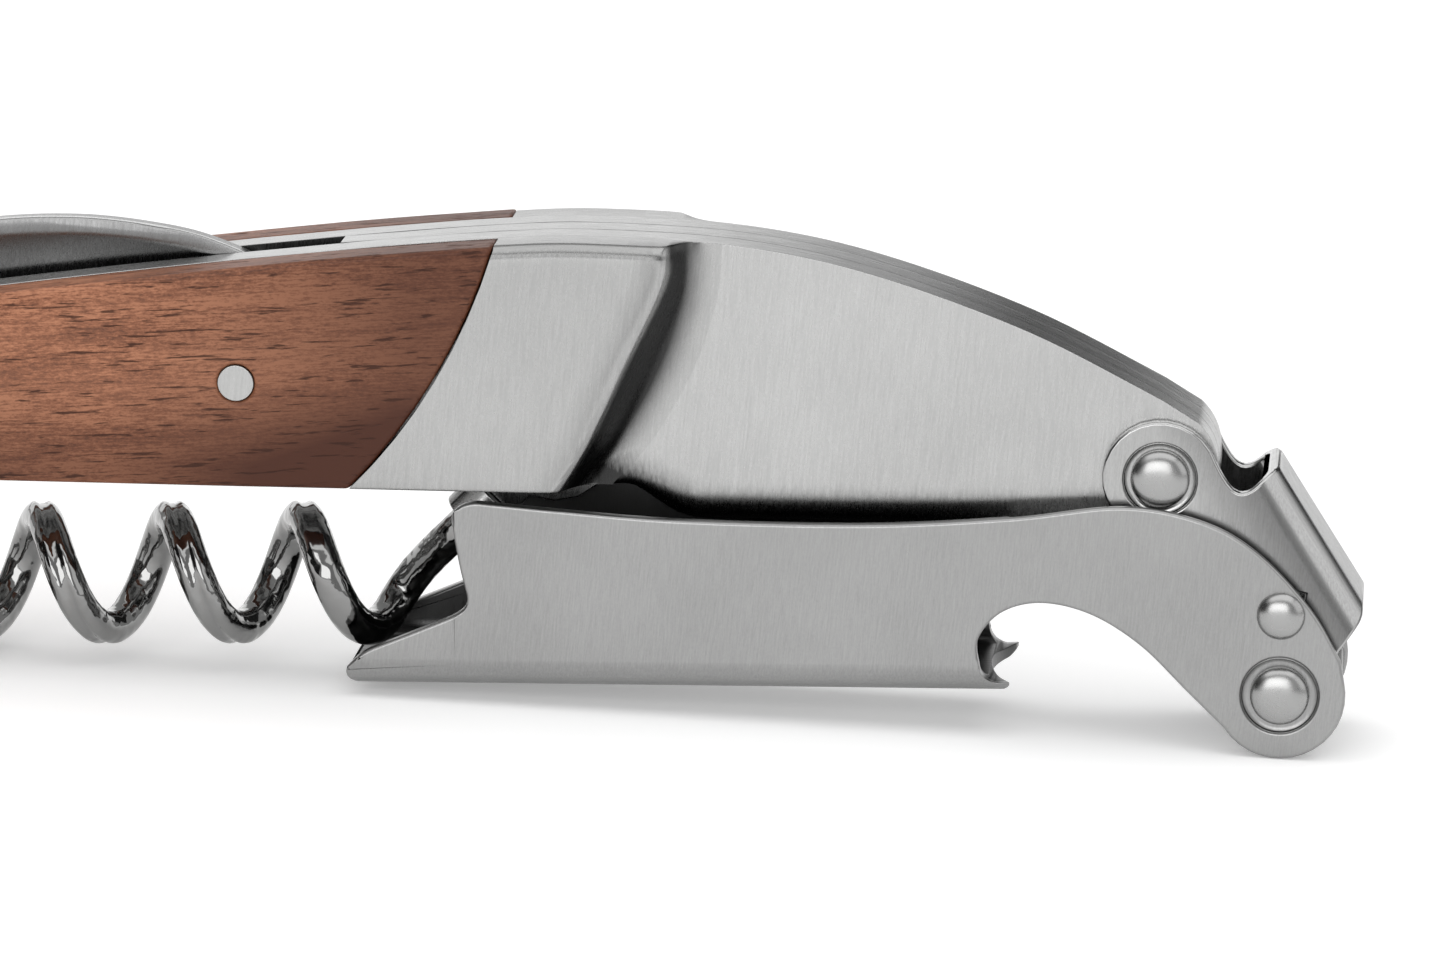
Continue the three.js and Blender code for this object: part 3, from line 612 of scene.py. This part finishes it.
def head_roll(node, side):
    """What the roll along the head's underside takes off a frame plate."""
    segments = outline(node, side * FRAME_HALF)
    stations, outside = 60, FRAME_HALF + 1
    loops = []
    cutter = bmesh.new()
    for i in range(stations + 1):
        x = ROLL_FRONT + (ROLL_END - ROLL_FRONT) * i / stations
        low = crossings(segments, x)[0]
        share = min(1.0, ROLL_FIRST + (x - ROLL_FRONT) / ROLL_RUN_IN)
        inward, upward = (share * size for size in ROLL_SIZE)
        section = []
        for across, up in quarter_turn(9):
            section.append((FRAME_HALF + CLEAR - inward * across, low - CLEAR + upward * up))
        section += [(FRAME_HALF - inward, low - 1), (outside, low - 1), (outside, low + upward)]
        loops.append([cutter.verts.new(place(x, side * y, z)) for y, z in section])
    return skin(cutter, loops)


BOLSTER_FILLET = 2.4  # the bolster's foot runs out this far over the head
BOLSTER_CROWN = 2.2  # how far before its edge the flat face begins to turn
BOLSTER_TOP = 0.8  # radius along its top
BOLSTER_FOOT = 0.25  # radius along its underside
BOLSTER_COVE_PAINTED_SHADE = 0.93  # the painted shade in its cove
CROWN_SLOPE = 0.2  # how steeply the face falls where it reaches the edge


def bolster_slope(s, width):
    """How steeply the bolster's end falls at s millimetres past its edge, up to a constant."""
    if s < 0:
        return CROWN_SLOPE * (1 + s / BOLSTER_CROWN) ** 3
    past = max(0.0, s - 0.75 * width) / (0.25 * width + BOLSTER_FILLET)
    return min(1.0, CROWN_SLOPE + s / 0.15) * max(0.0, 1 - past) ** 2.6


def bolster_end_painted_shading(s, width, v):
    """How much shade is painted there, for the dark reflection in the cove: v runs from 0 at the underside to 1 at
    the spine.
    """
    before, after = -0.3, 0.22  # between these the edge is bright
    if s < before:
        near = min(1.0, (before - s) / 0.35)
        return near * (0.16 + 0.3 * v) * max(0.0, 1 + s / BOLSTER_CROWN) ** 1.3
    if s < after:
        return 0.45 * (1 - min(1.0, v / 0.45))
    if s < width + 0.3:
        return min(BOLSTER_COVE_PAINTED_SHADE, (s - after) / 0.2)
    past = min(1.0, (s - width - 0.3) / (BOLSTER_FILLET - 0.3))
    return BOLSTER_COVE_PAINTED_SHADE * (1 - past) ** 2.2


def bolster_top_painted_shading(v, inset):
    """Painted shade where the rounding of the top begins, and less over the rest of it."""
    if v < 0.5 or not inset:
        return 0.0
    return 0.62 if inset < 0.06 * BOLSTER_TOP else 0.22


def bolster_levels(rise):
    """Heights as shares of the rise, and how far the rounding has come in at each."""
    plain_steps = 36
    levels = [(BOLSTER_FOOT * a / rise, BOLSTER_FOOT * b) for a, b in quarter_turn(6)[:-1]]
    plain = 1 - (BOLSTER_TOP + BOLSTER_FOOT) / rise
    levels += [(BOLSTER_FOOT / rise + plain * k / plain_steps, 0.0) for k in range(plain_steps + 1)]
    levels += [(1 - BOLSTER_TOP * b / rise, BOLSTER_TOP * a) for a, b in quarter_turn(10)[1:]]
    return levels


def bolster_stations(joint, edge, width):
    """Where the vertices of a row stand along x, and what share of its fall the end has made at each."""
    flat_steps, end_steps = 10, 46
    start, stop = edge - BOLSTER_CROWN, edge + width + BOLSTER_FILLET
    stations = [joint + (start - joint) * k / flat_steps for k in range(flat_steps)]
    stations += [start + (stop - start) * k / end_steps for k in range(end_steps + 1)]
    drops = [0.0]
    for before, x in zip(stations, stations[1:]):
        slope = (bolster_slope(before - edge, width) + bolster_slope(x - edge, width)) / 2
        drops.append(drops[-1] + (slope * (x - before) if x > start else 0.0))
    return [(x, drop / drops[-1]) for x, drop in zip(stations, drops)]


def close_block(mesh, shown, hidden):
    """Faces over a shown and a hidden grid of vertices, and between their borders."""
    rows, columns = len(shown) - 1, len(shown[0]) - 1
    for i in range(rows):
        for k in range(columns):
            for sheet in (shown, hidden):
                mesh.faces.new((sheet[i][k], sheet[i][k + 1], sheet[i + 1][k + 1], sheet[i + 1][k]))
        for k in (0, -1):
            mesh.faces.new((shown[i][k], shown[i + 1][k], hidden[i + 1][k], hidden[i][k]))
    for k in range(columns):
        for i in (0, -1):
            mesh.faces.new((shown[i][k], shown[i][k + 1], hidden[i][k + 1], hidden[i][k]))
    bmesh.ops.recalc_face_normals(mesh, faces=mesh.faces)


def bolster(node, plate, side):
    """A block whose flat face turns over at its end and runs out in a cove over the head."""
    inner = FRAME_HALF + CLEAR
    thickness = HANDLE_HALF - inner
    face = outline(node, side * HANDLE_HALF)
    foot = outline(node, side * (FRAME_HALF + 0.02))
    spine = outline(plate, side * FRAME_HALF)
    low, high = min(a.z for a, _ in face), max(a.z for a, _ in face)
    rise = high - low
    mesh = bmesh.new()
    # Painted shade for each vertex, which the bolster's material reads.
    painted_shade = mesh.verts.layers.float.new("painted_shade")
    shown, hidden = [], []
    for v, inset in bolster_levels(rise):
        z = low + rise * min(0.985, max(0.004, v))  # just inside the outlines
        ends = crossings(face, z, "z")
        joint, edge = ends[0], ends[-1]
        width = crossings(foot, z, "z")[-1] - edge
        front, back = [], []
        for x, fallen in bolster_stations(joint, edge, width):
            height = low + (crossings(spine, x)[-1] - low) * v
            stands = thickness * (1 - fallen) * (1 - inset / thickness) + 0.002
            vertex = mesh.verts.new(place(x, side * (inner + stands), height))
            on_end = bolster_end_painted_shading(x - edge, width, v) if x > edge - BOLSTER_CROWN else 0.0
            vertex[painted_shade] = max(bolster_top_painted_shading(v, inset) * max(0.0, 1 - 2 * fallen), on_end)
            front.append(vertex)
            back.append(mesh.verts.new(place(x, side * inner, height)))
        shown.append(front)
        hidden.append(back)
    close_block(mesh, shown, hidden)
    for edge in mesh.edges:
        edge.smooth = edge.calc_face_angle(0) < SHARP
    surface_of(node, mesh, BOLSTER_STEEL)


for node, side in (("front_frame_plate", -1), ("rear_frame_plate", 1)):
    rounded_node(node, 0.03, FRAME_STEEL, segments=2, cutters=[head_roll(node, side)])
rounded_node("centre_frame_plate", 0.02, FRAME_STEEL, segments=1)
bolster("front_bolster", "front_frame_plate", -1)
bolster("rear_bolster", "rear_frame_plate", 1)
for scale in ("front_scale", "rear_scale"):
    rounded_node(scale, 0.3, ROSEWOOD, segments=4)
for pin in ("scale_pin_middle", "scale_pin_tail", "knife_pivot_pin"):
    rounded_node(pin, 0.05, PIN_STEEL, segments=2)
for pin in ("bolster_pin_upper", "bolster_pin_lower", "worm_pivot_pin"):
    rounded_node(pin, 0.1, PIN_STEEL, segments=2)

# The link and the lever. Their rivets' heads lie in shallow counterbores.

LINK_HALF = 4.3
LEVER_HALF = 5.55
LINK_PIVOT = (0.0, 0.0)
LEVER_PIVOT = (7.4, -12.9)
STOP_PIN = (7.4, -7.95)
COUNTERBORE = 0.28  # depth
COUNTERBORE_CHAMFER = 0.12
RIVET_HEIGHT = 0.82  # of a rivet's head over its face
RIVET_CROWN = 2.25  # above 2 the head is flatter on top and steeper at its rim
RIVET_GAP = 0.03  # under its skirt
RIVETS = {  # centre, radius of the shank and of the head, the face it lies in, and how deep
    "link_pivot_rivet": (LINK_PIVOT, 1.4, 1.78, LINK_HALF, COUNTERBORE),
    "lever_pivot_rivet": (LEVER_PIVOT, 1.4, 1.78, LEVER_HALF, COUNTERBORE),
    "lever_stop_pin": (STOP_PIN, 1.0, 1.45, LEVER_HALF, -RIVET_GAP),
}
PRONGS = (-11.5, -8.3)  # x of the prongs under the lever's knuckle
PRONGS_TOP = -11


def counterbores(centre, radius, face):
    """What a counterbore on each side takes out."""
    floor, outside = face - COUNTERBORE, face + 1.0
    profile = [(0, floor), (radius - COUNTERBORE_CHAMFER, floor)]
    profile += [(radius, floor + COUNTERBORE_CHAMFER), (radius, outside), (0, outside)]
    return [lathe(profile, centre, side=side) for side in (-1, 1)]


def rivet(centre, shank, head, face, seat):
    """A rivet across the tool: a crowned button at each end, whose skirt goes down to its seat."""
    steps = 14
    half = [(0, face + RIVET_HEIGHT)]
    for i in range(1, steps + 1):
        angle = i / steps * math.pi / 2
        radius = head * math.sin(angle) ** (2 / RIVET_CROWN)
        half.append((radius, face + RIVET_HEIGHT * math.cos(angle) ** (2 / RIVET_CROWN)))
    half.append((head, face - seat + RIVET_GAP))
    half.append((shank, face - seat + RIVET_GAP))
    return lathe(half + [(radius, -y) for radius, y in reversed(half)], centre)


def lever_rounding(middle):
    """The prongs under the knuckle keep crisper edges."""
    return 0.25 if PRONGS[0] < middle.x < PRONGS[1] and middle.z < PRONGS_TOP else 1.0


for node, measures in RIVETS.items():
    surface_of(node, rivet(*measures), DOME_STEEL)
link_bores = counterbores(LINK_PIVOT, 2.2, LINK_HALF)
rounded_node("link", 0.18, LINK_STEEL, cutters=link_bores)
lever_bores = counterbores(LEVER_PIVOT, 2.32, LEVER_HALF)
rounded_node("lever", 0.2, LEVER_STEEL, cutters=lever_bores, share=lever_rounding)
rounded_node("worm_hub", 0.12, FRAME_STEEL)

# The worm: round wire on a right-handed helix, with a groove along its outside that runs out before
# the hub, and a tapered point.

WORM_PIVOT = side_view(PIVOT["worm_swing"])
WORM_WIRE = 1.1
WORM_RADIUS = 3.4
WORM_PITCH = 8.15
WORM_TURNS = 5
WORM_OVERRUN = 0.12  # turns past the last low point, where the wire leaves the helix for the hub
WORM_END = Vector((-48.35, 0.0, -7.9))  # on the axis, at the last low point
WORM_SLOPE = math.radians(1.4)
TIP_TURNS = 0.9  # over which the wire grows to its full radius
TIP_RADIUS = 0.12  # at the very point, as a share of the wire's
TIP_DRAWN_IN = 0.35  # by which the point stands nearer the axis, as a share of the helix's radius
GROOVE_END = 4.7  # turns from the tip
SOCKET_WAY = Vector((-1, 0, -1)).normalized()
SOCKET_END = 7.6  # from the worm's pivot to the mouth of its hub
SOCKET_FLOOR = 5.95  # and to where the wire ends in it
BEND_START = 3.0  # how far on along the helix the bend's first handle lies
BEND_END = (2.6, 0.2)  # before the hub's mouth: the bend's second handle, and its end


def worm_line(per_turn=72, bend_steps=28):
    """The wire's centre line, the way outwards there, and how many turns each point is from the tip."""
    drop = Matrix.Rotation(-WORM_SLOPE, 3, "Y")
    points, outward, turns = [], [], []
    length = WORM_TURNS + WORM_OVERRUN
    steps = round(length * per_turn)
    for i in range(steps + 1):
        turn = i / steps * length - WORM_TURNS
        angle = math.tau * turn - math.pi / 2
        radius = WORM_RADIUS * (1 - TIP_DRAWN_IN * max(0.0, 1 - WORM_TURNS - turn) ** 2)
        way = Vector((0, math.cos(angle), math.sin(angle)))
        points.append(drop @ (Vector((WORM_PITCH * turn, 0, 0)) + radius * way) + WORM_END)
        outward.append(drop @ way)
        turns.append(turn + WORM_TURNS)
    start = points[-1]
    tangent = (points[-1] - points[-2]).normalized()
    controls = [start, start + BEND_START * tangent]
    controls += [WORM_PIVOT + SOCKET_WAY * (SOCKET_END + before) for before in BEND_END]
    for i in range(1, bend_steps + 1):
        t = i / bend_steps
        weights = ((1 - t) ** 3, 3 * t * (1 - t) ** 2, 3 * t * t * (1 - t), t**3)
        points.append(sum((c * w for c, w in zip(controls, weights)), Vector()))
    points.append(WORM_PIVOT + SOCKET_WAY * SOCKET_FLOOR)
    rest = len(points) - len(turns)
    return points, outward + [outward[-1]] * rest, turns + [turns[-1]] * rest


def worm_section(angle, groove):
    """The wire's radius at an angle from its outward side, as a share of its full radius."""
    channel = math.exp(-((angle / 0.32) ** 4))
    lips = math.exp(-(((abs(angle) - 0.52) / 0.16) ** 2))
    return 1 - groove * (0.22 * channel - 0.015 * lips)


def worm_mesh(sides=48):
    points, outward, turns = worm_line()
    mesh = bmesh.new()
    rings = []
    for i, point in enumerate(points):
        tangent = (points[min(i + 1, len(points) - 1)] - points[max(i - 1, 0)]).normalized()
        normal = (outward[i] - tangent * tangent.dot(outward[i])).normalized()
        side = tangent.cross(normal)
        groove = min(1.0, max(0.0, (GROOVE_END - turns[i]) / 0.25)) * min(1.0, turns[i] / 0.8)
        radius = WORM_WIRE * min(1.0, TIP_RADIUS + (1 - TIP_RADIUS) * turns[i] / TIP_TURNS)
        ring = []
        for k in range(sides):
            angle = math.tau * k / sides - math.pi
            reach = radius * worm_section(angle, groove)
            vertex = point + normal * (reach * math.cos(angle)) + side * (reach * math.sin(angle))
            ring.append(mesh.verts.new(place(*vertex)))
        rings.append(ring)
    return skin(mesh, rings)


surface_of("worm_spiral", worm_mesh(), WORM_STEEL)

# The knife: both sides hollow-ground from just below the back to a thin edge.

BLADE_HALF = 0.95
TANG_END = -93.5
TANG_HEIGHTS = (-6, 14)  # z that takes in the whole tang
BACK_FLAT = 0.55
EDGE_HALF = 0.06
GRIND_RUN_IN = 6.0  # past the tang, before the grinding has its whole depth
GRIND_HOLLOW = 1.7  # above 1 the ground sides are hollow


def grinding_envelope():
    """A solid with the knife's ground section along it, and full thickness at the tang."""
    segments = outline("knife_blade", BLADE_HALF)
    rows, stations = 10, 64
    full = BLADE_HALF + 0.05
    tip = max(a.x for a, _ in segments)
    low, high = TANG_HEIGHTS
    tang = [(full, low + (high - low) * k / (rows + 2)) for k in range(rows + 3)]
    rings = [(TANG_END - 12, tang), (TANG_END - 0.05, tang)]
    for i in range(stations + 1):
        x = TANG_END + (tip - 0.15 - TANG_END) * i / stations
        heights = crossings(segments, x)
        low, high = heights[0], heights[-1]
        ease = min(1.0, (x - TANG_END) / GRIND_RUN_IN)
        ease = ease * ease * (3 - 2 * ease)
        top = max(high - BACK_FLAT, low + 0.3)
        profile = [(EDGE_HALF + (full - EDGE_HALF) * (1 - ease), low - 0.6)]
        for k in range(rows + 1):
            v = k / rows
            hollow = EDGE_HALF + (BLADE_HALF + 0.02 - EDGE_HALF) * v**GRIND_HOLLOW
            profile.append((full + (hollow - full) * ease, low + (top - low) * v))
        profile.append((full, high + 0.6))
        rings.append((x, profile))
    rings.append((tip + 1, rings[-1][1]))
    envelope = bmesh.new()
    loops = []
    for x, profile in rings:
        loop = [envelope.verts.new(place(x, half, z)) for half, z in profile]
        loop += [envelope.verts.new(place(x, -half, z)) for half, z in reversed(profile)]
        loops.append(loop)
    return skin(envelope, loops)


ground_blade = carve(clean_copy("knife_blade"), [grinding_envelope()], "INTERSECT")
surface_of("knife_blade", ground_blade, BLADE_STEEL)

# The floor, the lights and the camera.

CAMERA_TARGET = place(-26.8, 0.0, -1.75)
CAMERA_AZIMUTH = math.radians(5.6)
CAMERA_HEIGHT = math.radians(13.0)
CAMERA_DISTANCE = 0.45
LENS = 183.9
SENSOR = 36.0
PAPER_TONES = ((0.90, 0.90, 0.90), (0.93, 0.93, 0.93))


def camera():
    data = bpy.data.cameras.new("camera")
    data.lens = LENS
    data.sensor_width = SENSOR
    data.clip_start = 0.01
    data.clip_end = 20.0
    eye = bpy.data.objects.new("camera", data)
    bpy.context.scene.collection.objects.link(eye)
    bpy.context.scene.camera = eye
    turn = Euler((math.pi / 2 - CAMERA_HEIGHT, 0.0, CAMERA_AZIMUTH), "XYZ").to_matrix()
    turn = Matrix.Rotation(-TILT, 3, "Y") @ turn
    position = CAMERA_TARGET + turn @ Vector((0, 0, CAMERA_DISTANCE))
    eye.matrix_world = Matrix.Translation(position) @ turn.to_4x4()


def card(name, size):
    """A flat card, which isn't part of the object."""
    mesh = bmesh.new()
    bmesh.ops.create_grid(mesh, x_segments=1, y_segments=1, size=size / 2)
    piece = mesh_object(name, mesh)
    return piece


def floor():
    """Pale paper, which glows a little to soften the shadows on it."""
    plane = card("floor", 6.0)
    plane.location.z = -0.00002
    glow = {"emission_color": (1, 1, 1, 1), "emission_strength": 0.22}
    paper = Material("floor_paper", metallic=0.0, roughness=0.9, **glow)
    clouds = paper.noise((0.02, 0.02, 0.02), detail=2.0)
    paper.link(paper.mixed(clouds, *PAPER_TONES), paper.shader.inputs["Base Color"])
    plane.data.materials.append(paper.material)


def turned_to(aim, position):
    """The rotation that turns a lamp or a card at a position to what it aims at."""
    return (Vector(aim) - Vector(position)).to_track_quat("-Z", "Y").to_euler()


def softbox(name, position, aim, size, power, lights_diffusely=True):
    """A soft lamp that the camera doesn't see; it may light only by reflections in the metal."""
    data = bpy.data.lights.new(name, "AREA")
    data.shape = "RECTANGLE"
    data.size, data.size_y = size
    data.energy = power
    light = bpy.data.objects.new(name, data)
    light.location = position
    light.rotation_euler = turned_to(aim, position)
    light.visible_camera = False
    light.visible_diffuse = lights_diffusely
    bpy.context.scene.collection.objects.link(light)


def flag(name, position, aim, size):
    """A black card that shows only in reflections."""
    cloth = card(name, 1.0)
    cloth.scale = (*size, 1.0)
    cloth.location = position
    cloth.rotation_euler = turned_to(aim, position)
    black = Material(name + "_cloth", metallic=0.0, roughness=1.0, base_color=(0.006, 0.006, 0.006, 1))
    cloth.data.materials.append(black.material)
    cloth.visible_camera = False
    cloth.visible_diffuse = False
    cloth.visible_shadow = False


def surroundings():
    world = bpy.data.worlds.new("studio")
    bpy.context.scene.world = world
    world.use_nodes = True
    background = world.node_tree.nodes["Background"]
    background.inputs["Color"].default_value = (0.9, 0.9, 0.9, 1)
    background.inputs["Strength"].default_value = 0.5
    bpy.context.scene.view_settings.view_transform = "Standard"
    bpy.context.scene.view_settings.look = "None"


camera()
floor()
softbox("overhead", (0.0, -0.05, 0.75), (0.0, 0.0, 0.0), (1.3, 1.1), 5.3)
softbox("front", (-0.1, -0.9, 0.3), (0.0, 0.0, 0.0), (0.9, 0.5), 3.8)
softbox("back_card", (-0.2, 0.4, 0.11), (-0.2, 0.0, 0.11), (0.52, 0.14), 0.2, lights_diffusely=False)
softbox("low_card", (0.1, 0.4, 0.037), (0.1, 0.0, 0.037), (0.5, 0.07), 0.1, lights_diffusely=False)
softbox("right_card", (0.25, -0.02, 0.11), (0.05, 0.0, 0.03), (0.3, 0.16), 0.12, lights_diffusely=False)
flag("back_flag", (0.26, 0.4, 0.3), (0.26, 0.0, 0.3), (0.38, 0.45))
flag("left_flag", (-0.26, -0.05, 0.1), (0.0, 0.0, 0.03), (0.4, 0.2))
surroundings()
